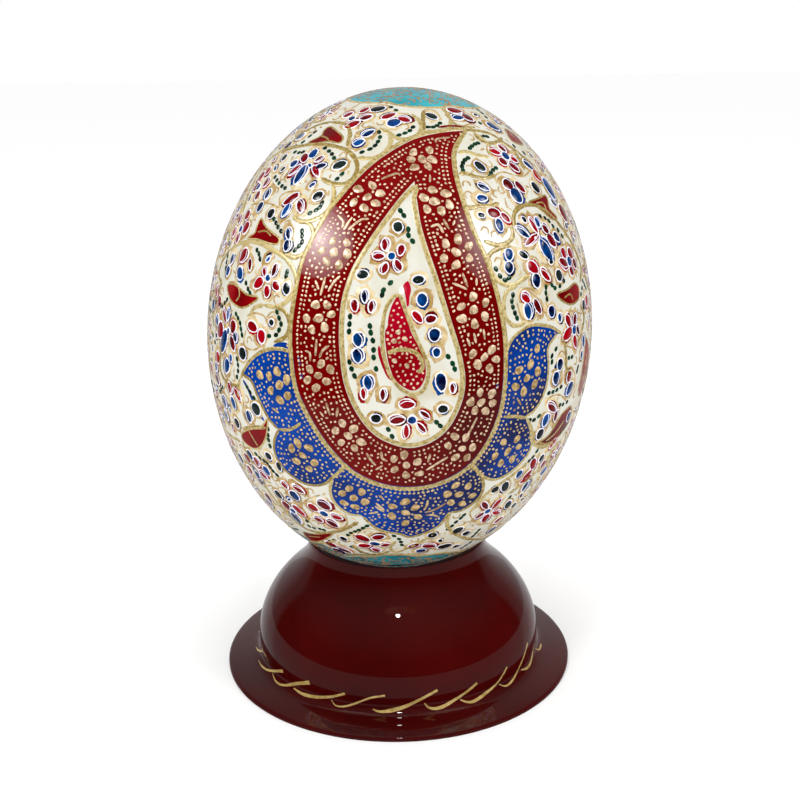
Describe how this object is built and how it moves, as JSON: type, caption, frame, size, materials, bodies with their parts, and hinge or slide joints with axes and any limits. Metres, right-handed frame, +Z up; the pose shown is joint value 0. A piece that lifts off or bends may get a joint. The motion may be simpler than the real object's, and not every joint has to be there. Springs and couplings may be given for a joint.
{
  "type": "painted ostrich egg on a stand",
  "caption": "Hand-painted, varnished ostrich egg with paisley and flower ornament, resting upright in a low domed metal stand with a flared brim.",
  "frame": {"origin": "on the surface the stand stands on, straight below the middle of the egg; the stand's own axis is 1.93 mm toward -X", "axes": "+Z up; +X to the right and -Y toward the viewer of the egg's front; the egg leans 4 degrees toward +X"},
  "size_m": [0.1282, 0.128, 0.1983],
  "materials": {
    "painted_shell": "ostrich eggshell painted by hand in red, blue, turquoise, green and gold on cream, under a clear gloss varnish",
    "maroon_lacquer": "spun sheet metal under deep maroon gloss lacquer, with gold brush strokes round the dome"
  },
  "bodies": {
    "root": {"ostrich_egg": "painted_shell", "stand": "maroon_lacquer"}
  },
  "joints": []
}
